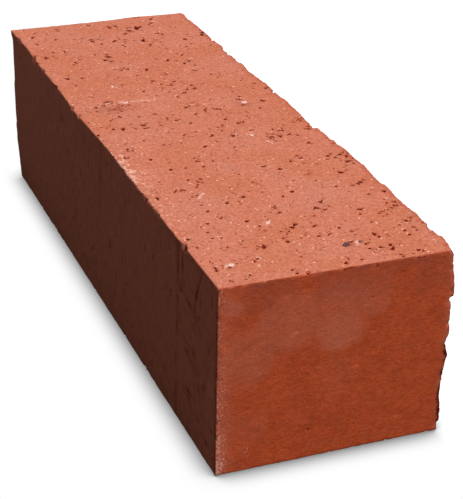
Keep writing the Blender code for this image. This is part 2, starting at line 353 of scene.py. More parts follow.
def cad_relief(tree, side, axis, sign, outline=None):
    """How far the CAD body stands out from its nominal face, in millimetres, at a side's lattice points.

    outline is how far the torn side stands out along the right edge of this one.
    """
    others = [a for a in range(3) if a != axis]
    nominal = SIZE[axis] if sign > 0 else 0.0
    carried = np.zeros_like(side.v[0]) if outline is None else outline
    place_u = side.u + carried * right_share(side.u)
    place_u = np.clip(place_u, RAY_INSET, SIZE[others[0]] + carried - RAY_INSET)
    place_v = np.clip(side.v, RAY_INSET, SIZE[others[1]] - RAY_INSET)
    start, direction = np.zeros(3), np.zeros(3)
    start[axis] = nominal + sign * RAY_REACH
    direction[axis] = -sign
    relief = np.zeros_like(side.u)
    for index, u in np.ndenumerate(place_u):
        start[others[0]], start[others[1]] = u, place_v[index]
        hit = tree.ray_cast(Vector((start + CORNER) * MM), Vector(direction))[0]
        if hit is not None:
            relief[index] = sign * ((hit[axis] / MM - CORNER[axis]) - nominal)
    return relief


# ---- marks on a side


def spot(side, centre, radii, turn=0.0):
    """A soft oval patch, 1 in the middle."""
    along, across = turned(side.u - centre[0], side.v - centre[1], turn)
    return np.exp(-((along / radii[0]) ** 2 + (across / radii[1]) ** 2))


def darken(side, mark):
    """Darken a mark: neutral and faint where the mark is weak, nearly black where it is full. It draws dark
    marks and spots, and painted shade on the left side.
    """
    side.mark(stain=mark, hollow=0.66 * mark)


def scratch(side, start, end, width, depth, bend=0.0):
    """Cut a groove between two points, bowed sideways by bend. Returns how deep it is, from 0 to 1."""
    span = np.subtract(end, start)
    length = np.hypot(*span)
    along, across = turned(side.u - start[0], side.v - start[1], math.atan2(span[1], span[0]))
    along = along / length
    bowed = bend * 4 * along * (1 - along)
    ends = smooth_step(-0.02, 0.06, along) * smooth_step(1.02, 0.94, along)
    groove = bell(across, bowed, width) * ends
    side.height -= depth * groove
    return groove


def press_pit(side, centre, half_length, half_width, turn, depth, wobble, darkness):
    """Press one irregular pit into a side, with a steep rim, and a torn lip on the side the drag left. Its
    darkness is painted shade over clay darker inside, and some lips get a painted highlight.
    """
    rows, columns = side.window(*centre, half_length * 2.4)
    along, across = turned(side.u[rows, columns] - centre[0], side.v[rows, columns] - centre[1], turn)
    along, across = along / half_length, across / half_width
    around = np.arctan2(across, along)
    outline = sum(0.22 * np.sin((n + 2) * around + wobble[n]) for n in range(3))
    distance = np.hypot(along, across) * (1 + outline)
    lip = bell(distance, 1.3, 0.28) * smooth_step(0.2, 1.0, along)
    side.height[rows, columns] -= depth * smooth_step(1.1, 0.5, distance) - 0.16 * half_width * lip
    # Painted shade in the pit, over clay that is darker inside
    hollow = darkness * smooth_step(1.8, 0.2, distance)
    side.hollow[rows, columns] = np.maximum(side.hollow[rows, columns], hollow)
    # Painted highlight on the lip of some pits
    lip_highlight = 0.6 * max(0.0, wobble[0] - 3.5) * lip
    side.pale[rows, columns] = np.maximum(side.pale[rows, columns], lip_highlight)


def stamp_pits(side, seed, count, sizes, depth_share, angle, scatter, density=None, chain=1, growth=0.0):
    """Scatter pits over a side, in short chains along the angle. growth makes the far ones larger."""
    draw = np.random.default_rng(seed)
    span = (side.u[-1, 0], side.v[0, -1])
    made = 0
    while made < count:
        centre = draw.uniform(0.5, np.array(span) - 0.5)
        if density is not None and draw.uniform() > density(*centre):
            continue
        for _ in range(draw.integers(1, chain + 1)):
            half_length = sizes[0] + (sizes[1] - sizes[0]) * draw.power(0.5)
            half_length *= 1 + growth * (centre[1] / span[1] - 0.5)
            half_width = half_length * draw.uniform(0.55, 0.95)
            turn = angle + draw.uniform(-scatter, scatter)
            wobble = draw.uniform(0, 2 * np.pi, 3)
            darkness = draw.uniform(0.55, 1.0)
            depth = depth_share * half_width
            press_pit(side, centre, half_length, half_width, turn, depth, wobble, darkness)
            heading = angle + draw.normal(0, 0.35)
            centre = centre + draw.uniform(1.3, 3.8) * np.array([math.cos(heading), math.sin(heading)])
            made += 1


# ---- wire-cut beds


def bed_density(centre_u, centre_v):
    """How likely a pit is: rather more near the front right, and gathered in patches and drag lines."""
    patch = gradient_noise(np.array(centre_u / 14.0), np.array(centre_v / 24.0), 61)
    line = streaks(np.array(centre_u), np.array(centre_v), DRAG_ANGLE, 30.0, 3.0, 62)
    front_right = 0.20 * (centre_u / WIDTH) + 0.10 * (1 - centre_v / LENGTH)
    dragged = bell(centre_u, 22.0, 13.0) * bell(centre_v, 171.0, 5.0)
    return float(np.clip(0.35 + front_right + 0.5 * patch + 0.6 * line + 0.8 * dragged, 0.04, 1))


def sculpt_bed(side, seed, pit_count):
    """A wire-cut bed: nearly flat, dragged one way, crumbly, and pitted where grains tore out."""
    u, v = side.u, side.v
    side.height += 0.14 * fractal(u, v, 45.0, 2, seed)
    side.height += 0.040 * streaks(u, v, DRAG_ANGLE, 16.0, 1.7, seed + 10)
    side.height += 0.040 * streaks(u, v, DRAG_ANGLE + 0.06, 3.2, 1.0, seed + 11)
    crumbs = fractal(u, v, 1.7, 2, seed + 20)
    side.height += 0.08 * crumbs + 0.12 * smooth_step(0.35, 0.7, crumbs)
    torn = smooth_step(0.30, 0.62, streaks(u, v, DRAG_ANGLE, 3.4, 1.5, seed + 30) * 0.5 + 0.6 * crumbs)
    side.height -= 0.18 * torn
    # Painted shade in the torn spots, over clay that is darker inside
    side.mark(hollow=0.42 * torn)
    stamp_pits(side, seed + 40, pit_count, (0.36, 1.15), 0.75, DRAG_ANGLE, 1.3, bed_density, 3, growth=0.3)


def fill_sockets(side):
    """Close the clay round each grain: the sockets' shrinkage gaps are too fine to see."""
    for name in GRAIN_NODES:
        low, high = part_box(name)
        middle = np.array((low + high) / 2) / MM - CORNER
        half = np.array((high - low) / 2) / MM + 0.5
        distance = np.hypot((side.u - middle[0]) / half[0], (side.v - middle[1]) / half[1])
        filled = smooth_step(1.25, 1.0, distance)
        side.height = np.maximum(side.height, side.height * (1 - filled))
        side.hollow *= 1 - filled


# ---- drawn and torn sides


def sculpt_header(side, seed):
    """A smooth end: a faint orange peel, short level drag marks and a few pinholes."""
    u, v = side.u, side.v
    side.height += 0.12 * fractal(u, v, 35.0, 2, seed)
    side.height += 0.022 * streaks(u, v, 0.0, 2.6, 0.9, seed + 10)
    side.height += 0.030 * fractal(u, v, 1.7, 2, seed + 20)
    stamp_pits(side, seed + 40, HEADER_PITS, (0.3, 0.6), 0.45, 0.0, 1.5)
    side.hollow *= 0.65
    side.pale[:] = 0.0


def sculpt_die_side(side, seed):
    """The left stretcher: drawn smooth by the die, with small upright ticks, dark lines, and darker places
    along its groove and edges, partly painted shade.
    """
    u, v = side.u, side.v
    side.height += 0.14 * fractal(u, v, 40.0, 2, seed)
    side.height += 0.025 * fractal(u, v, 6.0, 2, seed + 5)
    side.height += 0.012 * streaks(u, v, math.pi / 2, 24.0, 1.3, seed + 10)
    side.height += 0.028 * fractal(u, v, 1.6, 2, seed + 20)
    draw = np.random.default_rng(seed + 30)
    for _ in range(DIE_TICKS):
        foot_u, foot_v = draw.uniform(2, 210), draw.uniform(4, HEIGHT - 6)
        tick, lean = draw.uniform(1.5, 5.0), draw.uniform(-0.4, 0.4)
        mark = scratch(side, (foot_u, foot_v), (foot_u + lean, foot_v + tick), draw.uniform(0.4, 1.1), 0.08)
        darken(side, draw.uniform(0.2, 0.8) * mark)
    broken = smooth_step(-0.5, 0.3, fractal(u, v, 1.9, 2, seed + 50))
    for start, end, width, darkness, bow in DIE_MARKS:
        mark = scratch(side, start, end, 1.25 * width, 0.08, bow)
        darken(side, darkness * mark * (0.40 + 0.65 * broken))
    darken_and_haze_die_side(side, broken, seed)
    stamp_pits(side, seed + 40, DIE_PITS, (0.3, 0.8), 0.45, math.pi / 2, 0.6)
    side.pale[:] = 0.0


def darken_and_haze_die_side(side, broken, seed):
    """Painted shade in the wide groove and under the top arris, darker along the front arris and at the far
    foot, and two hazy spots.
    """
    u, v = side.u, side.v
    # Painted shade in the wide groove
    darken(side, 0.62 * bell(u, WIDE_GROOVE - 1.2, 1.6) * smooth_step(34.0, 62.0, v))
    front_arris = smooth_step(2.2, 0.9, u) * smooth_step(71.0, 62.0, v)
    darken(side, 0.85 * front_arris * (0.55 + 0.45 * broken))
    # Painted shade under the top arris
    under_top = smooth_step(HEIGHT - 6.0, HEIGHT - 1.0, v) * smooth_step(60.0, 40.0, u)
    darken(side, 0.9 * under_top * smooth_step(-0.1, 0.4, fractal(u, v, 2.2, 2, seed + 60)))
    darken(side, 0.42 * spot(side, (LENGTH - 6.0, 0.0), (20.0, 13.0)))
    side.mark(haze=0.8 * spot(side, (6.0, 32.5), (2.2, 3.0)))
    side.mark(haze=0.5 * spot(side, (46.6, 67.5), (3.5, 2.5)))


def sharpen_ledges(side, reach):
    """Steepen the ledges between scales, which the CAD body spreads over one of its coarse faces."""
    z = side.v[0]
    above = np.stack([np.interp(z + reach, z, column) for column in side.height])
    below = np.stack([np.interp(z - reach, z, column) for column in side.height])
    low, high = np.minimum(above, below), np.maximum(above, below)
    share = (side.height - low) / np.maximum(high - low, 0.01)
    side.height = low + (high - low) * smooth_step(0.28, 0.72, share)


def sculpt_torn_side(side, seed):
    """The right stretcher: rough torn scales, with painted shade in the tears and where one scale steps back
    under the next.
    """
    u, v = side.u, side.v
    sharpen_ledges(side, 1.3)
    ledge = smooth_step(0.35, 1.1, np.gradient(side.height, v[0], axis=1))
    ragged = fractal(u, v, 3.0, 3, seed + 5)
    near_front = bell(u, 0.0, 12.0)
    lean = 0.35 * smooth_step(LENGTH - 10.0, LENGTH - 80.0, u) + 0.55 * bell(u, 97.0, 20.0)
    lean += 0.6 * near_front
    side.height += TORN_RISE + TORN_LEAN * lean * smooth_step(30.0, 66.0, v)
    side.height += 0.26 * fractal(u, v, 9.0, 3, seed)
    side.height += 0.10 * streaks(u, v, math.pi / 2, 14.0, 1.8, seed + 10)
    side.height += 0.09 * fractal(u, v, 1.6, 2, seed + 20)
    tears = smooth_step(0.22, 0.5, streaks(u, v, 0.0, 9.0, 2.0, seed + 30) * 0.8 + 0.5 * ragged)
    side.height -= 0.30 * tears
    side.height -= 0.25 * ledge * (0.6 + 0.8 * ragged)
    # Painted shade in the tears and under each ledge
    side.mark(hollow=0.42 * tears)
    side.mark(hollow=0.65 * ledge * smooth_step(-0.1, 0.5, ragged))
    nodule, notch = spot(side, (0.0, 32.5), (4.0, 1.8)), spot(side, (0.0, 38.8), (4.0, 1.6))
    side.height += 0.9 * nodule - 0.9 * notch
    side.height -= 0.7 * near_front * smooth_step(34.0, 22.0, v)
    stamp_pits(side, seed + 40, TORN_PITS, (0.4, 1.1), 0.6, math.pi / 2, 1.0, chain=3)


# ---- stains and dust


def stain_patch(side):
    """A violet patch on the top bed, mottled and thick with small pits."""
    patch = 1.05 * spot(side, (16.0, 170.6), (8.5, 4.8), 0.1)
    side.mark(stain=patch * smooth_step(-0.20, 0.15, fractal(side.u, side.v, 2.2, 3, 405)))
    draw = np.random.default_rng(431)
    for _ in range(PATCH_PITS):
        centre = np.clip(draw.normal((16.5, 170.4), (6.5, 3.0)), (2.0, 160.0), (40.0, 190.0))
        half_length = draw.uniform(0.40, 0.75)
        wobble, darkness = draw.uniform(0, 3, 3), draw.uniform(0.45, 0.85)
        press_pit(side, centre, half_length, 0.6 * half_length, DRAG_ANGLE, 0.2, wobble, darkness)


def stain_top(side):
    """The top bed's chalk, violet patch, pits and haloes beside grains, lilac haze and white scratches."""
    broken = fractal(side.u, side.v, 2.2, 3, 401)
    for centre, radii, strength in CHALK_SPOTS:
        side.mark(pale=strength * spot(side, centre, radii) * smooth_step(-0.25, 0.35, broken))
    stain_patch(side)
    for centre, half_length in PITS_BESIDE_GRAINS:
        press_pit(side, centre, half_length, 0.6 * half_length, DRAG_ANGLE, 0.35, (0.4, 1.3, 2.2), 0.9)
    for centre, radii, turn in GRAIN_HALOES:
        side.mark(stain=0.8 * spot(side, centre, radii, turn))
    for centre, radii, turn, strength in BED_HAZE:
        lilac = strength * spot(side, centre, radii, turn)
        side.mark(haze=0.55 * lilac, stain=0.12 * lilac)
    for start, end, width, strength in TOP_SCRATCHES:
        side.mark(pale=strength * scratch(side, start, end, width, 0.08))


def haze_front(side):
    """Round pale hazes on the front header, each thinner above its middle, and one along the left arris."""
    u, v = side.u, side.v
    wander = 1 + 0.16 * fractal(u, v, 9.0, 2, 441)
    for centre, radius, strength in HAZE_DISCS:
        distance = wander * np.hypot(u - centre[0], v - centre[1]) / radius
        thinner_above = 1 - 0.35 * smooth_step(0.0, radius, v - centre[1])
        side.mark(haze=strength * thinner_above * smooth_step(1.25, 0.75, distance))
    side.haze *= 1 - 0.6 * smooth_step(66.0, 74.0, v) * smooth_step(6.0, 12.0, u)
    side.mark(haze=smooth_step(10.0, 0.0, u) * smooth_step(110.0, 5.0, v))
    side.haze *= 0.75 + 0.35 * fractal(u, v, 6.0, 2, 421)


def stain_front(side):
    """The front header's haze, duller upper part, painted shade along its top and right edges, small spots,
    and dust at the left.
    """
    u, v = side.u, side.v
    haze_front(side)
    broken = fractal(u, v, 2.0, 3, 411)
    # A duller upper part; its top few millimetres are painted shade
    upper = 0.36 * smooth_step(56.0, 70.0, v) + 0.35 * smooth_step(71.0, 75.0, v)
    side.mark(stain=upper * smooth_step(-0.6, 0.4, fractal(u, v, 12.0, 2, 431)))
    # Painted shade just under the top arris
    side.mark(hollow=0.7 * smooth_step(1.8, 0.9, HEIGHT - v) * smooth_step(-0.2, 0.35, broken))
    # Painted shade along the right edge, strongest low down
    shaded_right_edge = smooth_step(WIDTH - 3.0, WIDTH - 1.0, u + 0.9 * broken)
    shaded_right_edge *= 0.4 * smooth_step(62.0, 54.0, v) + 0.6 * smooth_step(41.0, 35.0, v)
    side.mark(hollow=0.72 * shaded_right_edge * smooth_step(-0.6, 0.1, fractal(u, v, 4.5, 2, 451)))
    for centre, radii in HEADER_DARK_SPOTS:
        darken(side, 0.8 * spot(side, centre, radii))
    for centre, radii in HEADER_PALE_SPOTS:
        side.mark(pale=0.75 * spot(side, centre, radii))
    dust = smooth_step(7.0, 0.0, u) * smooth_step(-0.6, 0.4, broken)
    side.mark(pale=dust * (0.50 + 0.50 * bell(v, 7.0, 9.0)))


# ---- the six sides together


def cad_body_tree():
    """The CAD body, ready for rays to be cast at it."""
    mesh = frame["nodes"][BODY_NODE].data
    mesh.calc_loop_triangles()
    triangles = [tuple(t.vertices) for t in mesh.loop_triangles]
    return BVHTree.FromPolygons([v.co.copy() for v in mesh.vertices], triangles)


def wear_grooves(left):
    """Wear the narrow pair of die grooves faint, and fade the wide one towards the foot."""
    in_wide_groove = smooth_step(7.0, 4.0, np.abs(left.u - WIDE_GROOVE))
    left.height *= 1 - in_wide_groove * smooth_step(58.0, 30.0, left.v)
    left.height *= 1 - 0.7 * smooth_step(4.0, 2.6, np.abs(left.u - NARROW_PAIR))


def build_sides():
    """The six sides with all their fields. The CAD body has relief on its left, right and top."""
    lines = [lattice_lines(SIZE[a], STEP[a]) for a in range(3)]
    sides = {}
    for axis, names in enumerate(SIDE_PAIRS):
        others = [a for a in range(3) if a != axis]
        for name in names:
            sides[name] = Side(lines[others[0]], lines[others[1]])
    left, right, top = sides["left"], sides["right"], sides["top"]
    tree = cad_body_tree()
    right.height = cad_relief(tree, right, 0, 1)
    left.height = cad_relief(tree, left, 0, -1)
    top.height = cad_relief(tree, top, 2, 1, right.height[:, -1])
    # Painted shade in the CAD body's pits, over clay that is darker inside
    top.hollow = np.clip(-top.height / CAD_PIT_DEPTH, 0, 1)
    wear_grooves(left)
    fill_sockets(top)
    sculpt_bed(top, 100, TOP_PITS)
    sculpt_bed(sides["bottom"], 150, BOTTOM_PITS)
    sculpt_header(sides["front"], 200)
    sculpt_header(sides["rear"], 230)
    sculpt_die_side(left, 260)
    sculpt_torn_side(right, 300)
    stain_top(top)
    stain_front(sides["front"])
    return lines, sides


# ---- the body mesh


def surface_lattice(counts):
    """Lattice indices of every surface point, and the quads that join them, facing out."""
    ids = np.full(counts, -1, np.int32)
    on_surface = np.zeros(counts, bool)
    for axis in range(3):
        for end in (0, -1):
            on_surface[(slice(None),) * axis + (end,)] = True
    points = np.argwhere(on_surface)
    ids[tuple(points.T)] = np.arange(len(points))
    quads = []
    for axis in range(3):
        for end, flip in ((0, True), (-1, False)):
            sheet = ids[(slice(None),) * axis + (end,)]
            a, b, c, d = sheet[:-1, :-1], sheet[1:, :-1], sheet[1:, 1:], sheet[:-1, 1:]
            quad = np.stack([a, b, c, d], -1).reshape(-1, 4)
            if flip != (axis == 1):
                quad = quad[:, ::-1]
            quads.append(quad)
    return points, np.concatenate(quads)


def arris_radius(base):
    """The uneven radius that the arrises are worn to, in millimetres, at each base point."""
    along = base.sum(axis=1)
    worn = gradient_noise(along / 9.0, base[:, 0] / 40.0, 501)
    crisp = gradient_noise(along / 2.5, base[:, 2] / 40.0, 502)
    radius = 0.46 + 0.22 * worn + 0.12 * crisp
    radius -= 0.2 * ((base[:, 1] < ARRIS_BAND) & (base[:, 2] > HEIGHT - ARRIS_BAND))
    return np.clip(radius, 0.15, 1.0)


def gather(sides, points, weights, field):
    """A field of the six sides at each surface point, mixed by the point's share of each side."""
    total = 0.0
    for axis, names in enumerate(SIDE_PAIRS):
        place = tuple(np.delete(points, axis, axis=1).T)
        for name in names:
            total = total + weights[name] * getattr(sides[name], field)[place]
    return total


def side_weights(normal):
    """How much each point belongs to each side. The six shares add up to 1."""
    square = normal**2
    weights = {}
    for axis, (low, high) in enumerate(SIDE_PAIRS):
        weights[low] = np.where(normal[:, axis] < 0, square[:, axis], 0.0)
        weights[high] = np.where(normal[:, axis] > 0, square[:, axis], 0.0)
    return weights


def warp_right(sides, points, place):
    """Move the right part of the block with the torn side, so that beds and headers follow its outline."""
    offset = sides["right"].height[points[:, 1], points[:, 2]]
    place[:, 0] += offset * right_share(place[:, 0])


def break_off(place, pale, centre, outward, depth, reach, chalk):
    """Cut one piece off an arris or corner along a rough face, and leave chalk on the fresh break."""
    normal = np.array(outward, float) / np.linalg.norm(outward)
    near = np.flatnonzero((np.abs(place - centre) < reach * 1.6).all(axis=1))
    offset = place[near] - centre
    along, across = offset[:, 1] - offset[:, 0], offset[:, 0] + offset[:, 2]
    rough = 0.10 * gradient_noise(along / 0.9 + 40, across / 0.9, 510)
    rough += 0.06 * depth * fractal(along + 90, across, 7.0, 3, 515)
    over = offset @ normal + depth + rough
    fade = smooth_step(reach * 1.3, reach * 0.7, np.linalg.norm(offset, axis=1))
    cut = np.maximum(over, 0) * fade
    place[near] -= cut[:, None] * normal
    pale[near] = np.maximum(pale[near], chalk * smooth_step(0.05, 0.25, cut))


def chip_arrises(place, pale):
    """The larger breaks, and many small bites out of all the arrises."""
    for centre, outward, depth, reach, chalk in BREAKS:
        break_off(place, pale, np.array(centre, float), outward, depth, reach, chalk)
    draw = np.random.default_rng(77)
    for start, end, outward, count, largest in ARRISES:
        start, end = np.array(start, float), np.array(end, float)
        for _ in range(count):
            centre = start + (end - start) * draw.uniform(0.01, 0.99)
            reach = SMALLEST_CHIP + (largest - SMALLEST_CHIP) * draw.power(0.55)
            facing = np.array(outward, float) / math.sqrt(2) + draw.normal(0, 0.16, 3)
            depth = 0.30 + 0.18 * reach * draw.uniform(0.3, 1.0)
            break_off(place, pale, centre, facing, depth, reach, draw.uniform(0.0, 0.2))


def swell_left_arris(place):
    """The upper left arris wanders: it bulges and draws back by under a millimetre."""
    share = np.exp(-(HEIGHT - place[:, 2]) / 10.0) * smooth_step(12.0, 0.0, place[:, 0])
    for middle, half_length, outward in ARRIS_BULGES:
        place[:, 0] -= outward * bell(place[:, 1], middle, half_length) * share


def ripple_arris(place, edge_x, seed, strength):
    """The burr that the wire left: a thin broken ridge along one upper long arris."""
    distance = np.hypot(place[:, 0] - edge_x, place[:, 2] - HEIGHT)
    ridge = gradient_noise(place[:, 1] / 7.0, place[:, 1] / 90.0, seed)
    ridge += 0.4 * gradient_noise(place[:, 1] / 2.4, place[:, 1] / 90.0, seed + 1)
    amount = strength * smooth_step(-0.3, 0.9, ridge) * bell(distance, 0.0, 1.3)
    outward = 1.0 if edge_x > 0 else -1.0
    place[:, 0] += outward * amount
    place[:, 2] += 0.45 * amount


def lay_scales(place):
    """Scales of the torn skin along the upper right arris: each fades in, and ends in a sharp step."""
    near = smooth_step(WIDTH - 7.0, WIDTH - 0.5, place[:, 0]) * np.exp(-np.abs(HEIGHT - place[:, 2]) / 7.0)
    for end, rise in SCALE_ENDS:
        before_end = end + 0.5 * (HEIGHT - place[:, 2]) - place[:, 1]
        fade = np.exp(-np.maximum(before_end, 0) / SCALE_FADE)
        place[:, 0] += rise * near * fade * smooth_step(-0.5, 0.5, before_end)
    place[:, 0] -= 0.7 * near * smooth_step(262.0, 284.0, place[:, 1])


def raise_rear_corner(place):
    """The wire lifted the far right corner of the top bed a little, and left a burr on its rear arris."""
    lift = smooth_step(LENGTH - 55.0, LENGTH, place[:, 1]) * smooth_step(15.0, 85.0, place[:, 0])
    upper = place[:, 2] / HEIGHT
    place[:, 2] += 0.4 * lift * upper
    edge = smooth_step(LENGTH - 8.0, LENGTH, place[:, 1]) * smooth_step(HEIGHT - 8.0, HEIGHT, place[:, 2])
    burr = 1.2 + 1.2 * bell(place[:, 0], 64.0, 9.0)
    place[:, 1] += burr * edge


def torn_burr(base):
    """How torn the skin beside the right arrises looks, with an uneven edge."""
    skin = gradient_noise(base[:, 1] / 4.0, base[:, 0] / 1.5, 521)
    return 0.75 * smooth_step(WIDTH - 3.2, WIDTH - 0.3, base[:, 0] + 0.9 * skin)


def arris_shadow(base):
    """Dark patches along the upper right arris and the front right one, which is darkest low down."""
    upper = smooth_step(HEIGHT - 2.5, HEIGHT - 0.5, base[:, 2])
    front = smooth_step(2.0, 0.6, base[:, 1]) * (1.0 + 0.3 * smooth_step(44.0, 34.0, base[:, 2]))
    on_arris = smooth_step(WIDTH - 1.0, WIDTH - 0.2, base[:, 0]) * np.maximum(upper, front)
    patches = gradient_noise(base[:, 1] / 3.0, base[:, 2] / 1.8, 531)
    return 0.60 * on_arris * smooth_step(-0.4, 0.3, patches)


def make_body_mesh(lines, sides):
    """Positions, quads and attributes of the sculpted body."""
    points, quads = surface_lattice([len(axis) for axis in lines])
    base = np.stack([lines[a][points[:, a]] for a in range(3)], axis=1)
    radius = arris_radius(base)[:, None]
    inner = np.clip(base, radius, SIZE - radius)
    normal = base - inner
    normal /= np.linalg.norm(normal, axis=1)[:, None]
    weights = side_weights(normal)
    fields = ("hollow", "pale", "haze", "stain")
    attributes = {field: gather(sides, points, weights, field) for field in fields}
    along_normal = dict(weights, right=0.0 * weights["right"])
    height = gather(sides, points, along_normal, "height")
    place = inner + normal * (radius + height[:, None])
    warp_right(sides, points, place)
    swell_left_arris(place)
    lay_scales(place)
    ripple_arris(place, 0.0, 601, 0.35)
    ripple_arris(place, WIDTH, 611, 0.6)
    raise_rear_corner(place)
    chip_arrises(place, attributes["pale"])
    attributes["hollow"] = np.maximum(attributes["hollow"], arris_shadow(base))
    attributes["bed"] = weights["top"] + weights["bottom"]
    attributes["header"] = weights["front"] + weights["rear"]
    attributes["torn"] = np.maximum(weights["right"], torn_burr(base))
    return (place + CORNER) * MM, quads, attributes


def mesh_object(name, places, faces, attributes):
    """An object from arrays of positions, quads and point attributes."""
    mesh = bpy.data.meshes.new(name)
    mesh.vertices.add(len(places))
    mesh.vertices.foreach_set("co", places.astype(np.float32).ravel())
    mesh.loops.add(faces.size)
    mesh.loops.foreach_set("vertex_index", faces.astype(np.int32).ravel())
    mesh.polygons.add(len(faces))
    mesh.polygons.foreach_set("loop_start", np.arange(0, faces.size, faces.shape[1], dtype=np.int32))
    for key, values in attributes.items():
        layer = mesh.attributes.new(key, "FLOAT", "POINT")
        layer.data.foreach_set("value", values.astype(np.float32))
    mesh.update(calc_edges=True)
    mesh.validate()
    made = bpy.data.objects.new(name, mesh)
    bpy.context.scene.collection.objects.link(made)
    return made


def apply_modifiers(piece):
    """Replace a piece's mesh by what its modifiers make of it."""
    graph = bpy.context.evaluated_depsgraph_get()
    mesh = bpy.data.meshes.new_from_object(
        piece.evaluated_get(graph), preserve_all_data_layers=True, depsgraph=graph
    )
    piece.modifiers.clear()
    piece.data = mesh


def thin_out(piece, faces_kept):
    """Collapse the flattest parts of a mesh until it has about the wanted number of triangles."""
    triangles = 2 * len(piece.data.polygons)
    thin = piece.modifiers.new("thin", "DECIMATE")
    thin.ratio = min(1.0, faces_kept / triangles)
    apply_modifiers(piece)


# ---- material nodes


class Shading:
    """A short way to write a material's nodes. Values are sockets or numbers."""

    def __init__(self, name):
        self.material = bpy.data.materials.new(name)
        self.material.use_nodes = True
        self.tree = self.material.node_tree
        self.surface = self.tree.nodes["Principled BSDF"]
        self.place = self.node("TexCoord").outputs["Object"]

    def put(self, socket, value):
        """Link a socket to an input, or set the input's value."""
        if isinstance(value, bpy.types.NodeSocket):
            self.tree.links.new(value, socket)
        elif isinstance(value, tuple) and len(value) == 3 and len(socket.default_value) == 4:
            socket.default_value = (*value, 1.0)
        else:
            socket.default_value = value

    def node(self, kind, **inputs):
        """A new shader node with some of its inputs linked or set. From_Min stands for From Min."""
        made = self.tree.nodes.new("ShaderNode" + kind)
        for key, value in inputs.items():
            self.put(made.inputs[key.replace("_", " ")], value)
        return made

    def attribute(self, name):
        """A point attribute of the mesh."""
        made = self.node("Attribute")
        made.attribute_name = name
        return made.outputs["Fac"]

    def stretched(self, scale):
        """The object's coordinates, drawn out by a scale along each axis."""
        made = self.node("Mapping", Vector=self.place)
        made.vector_type = "TEXTURE"
        made.inputs["Scale"].default_value = scale
        return made.outputs["Vector"]

    def noise(self, size_mm, detail=3.0, roughness=0.55, at=None):
        """Noise with features of a size in millimetres, or in units of a stretched coordinate."""
        place = self.place if at is None else at
        scale = 1 / (size_mm * MM)
        made = self.node("TexNoise", Vector=place, Scale=scale, Detail=detail, Roughness=roughness)
        return made.outputs["Fac"]

    def cells(self, size_mm):
        """Voronoi cells: the distance to each cell's middle, and an even random number for each cell."""
        made = self.node("TexVoronoi", Vector=self.place, Scale=1 / (size_mm * MM))
        split = self.node("SeparateColor", Color=made.outputs["Color"])
        return made.outputs["Distance"], split.outputs["Red"]

    def band(self, value, low, high, out_low=0.0, out_high=1.0):
        """Value eased from one range to another."""
        limits = {"From_Min": low, "From_Max": high, "To_Min": out_low, "To_Max": out_high}
        made = self.node("MapRange", Value=value, **limits)
        made.interpolation_type = "SMOOTHSTEP"
        return made.outputs["Result"]

    def math(self, operation, first, second):
        """One arithmetic step."""
        made = self.node("Math")
        made.operation = operation
        self.put(made.inputs[0], first)
        self.put(made.inputs[1], second)
        return made.outputs[0]

    def times(self, first, second):
        """Two numbers multiplied."""
        return self.math("MULTIPLY", first, second)

    def flecks(self, size_mm, rarity, largest, ragged):
        """Small spots in some of the cells: 1 inside, 0 outside. ragged is a noise that frays them."""
        distance, chance = self.cells(size_mm)
        frayed = self.math("ADD", distance, self.band(ragged, 0.2, 0.8, -0.08, 0.08))
        return self.math("LESS_THAN", frayed, self.band(chance, rarity, 1.0, -0.08, largest))

    def mix(self, share, first, second):
        """Two colours mixed by a share."""
        made = self.node("Mix")
        made.data_type = "RGBA"
        self.put(made.inputs["Factor"], share)
        self.put(made.inputs["A"], first)
        self.put(made.inputs["B"], second)
        return made.outputs["Result"]

    def brighten(self, colour, factor):
        """A colour multiplied by a number."""
        made = self.node("VectorMath")
        made.operation = "SCALE"
        self.put(made.inputs[0], colour)
        self.put(made.inputs["Scale"], factor)
        return made.outputs[0]

    def vary(self, colour, noise, amount, low=0.25, high=0.75):
        """A colour made darker and brighter by a noise, by up to an amount."""
        return self.brighten(colour, self.band(noise, low, high, 1 - amount, 1 + amount))

    def bump(self, height, distance_mm):
        """Fine relief below the mesh's own detail."""
        made = self.node("Bump", Height=height, Distance=distance_mm * MM, Strength=1.0)
        self.tree.links.new(made.outputs["Normal"], self.surface.inputs["Normal"])

    def finish(self, colour, roughness, specular):
        """Set the surface's main inputs and return the material."""
        self.put(self.surface.inputs["Base Color"], colour)
        self.put(self.surface.inputs["Roughness"], roughness)
        self.put(self.surface.inputs["Specular IOR Level"], specular)
        return self.material


# ---- fired clay


BED_ORANGE = (0.600, 0.178, 0.098)
BED_PINK = (0.620, 0.202, 0.126)
BED_DARK = (0.540, 0.130, 0.064)
BED_LIGHT = (0.690, 0.265, 0.172)
HEADER_COLOUR = (0.565, 0.080, 0.020)
HEADER_BROWN = (0.525, 0.078, 0.023)
# The long sides' clay: the clay's own tone, made duller than the headers' by a painted cool tint of the left
# side's shade
DIE_COLOUR = (0.510, 0.150, 0.088)
DIE_BROWN = (0.475, 0.138, 0.083)
TORN_COLOUR = (0.560, 0.110, 0.055)
# Painted shade in pits and hollows, nearly black in the middle and brown at the rim, over clay darker inside
# its pits
HOLLOW_COLOUR = (0.120, 0.006, 0.001)
RIM_COLOUR = (0.440, 0.074, 0.028)
# Pinholes: painted shade in tiny pits, over clay that is darker inside
PINHOLE_COLOUR = (0.240, 0.034, 0.014)
# Stains and dark marks, and painted shade under the top arrises and in the wide groove
STAIN_AND_SHADE_COLOUR = (0.320, 0.082, 0.054)
HAZE_COLOUR = (0.830, 0.440, 0.330)
CHALK_COLOUR = (0.920, 0.480, 0.370)
WHITE_FLECK = (0.930, 0.480, 0.360)
PINK_FLECK = (0.850, 0.340, 0.220)

# How strongly a full mark shows
HAZE_SHARE = 0.17
STAIN_AND_SHADE_SHARE = 0.75
CHALK_SHARE = 0.85


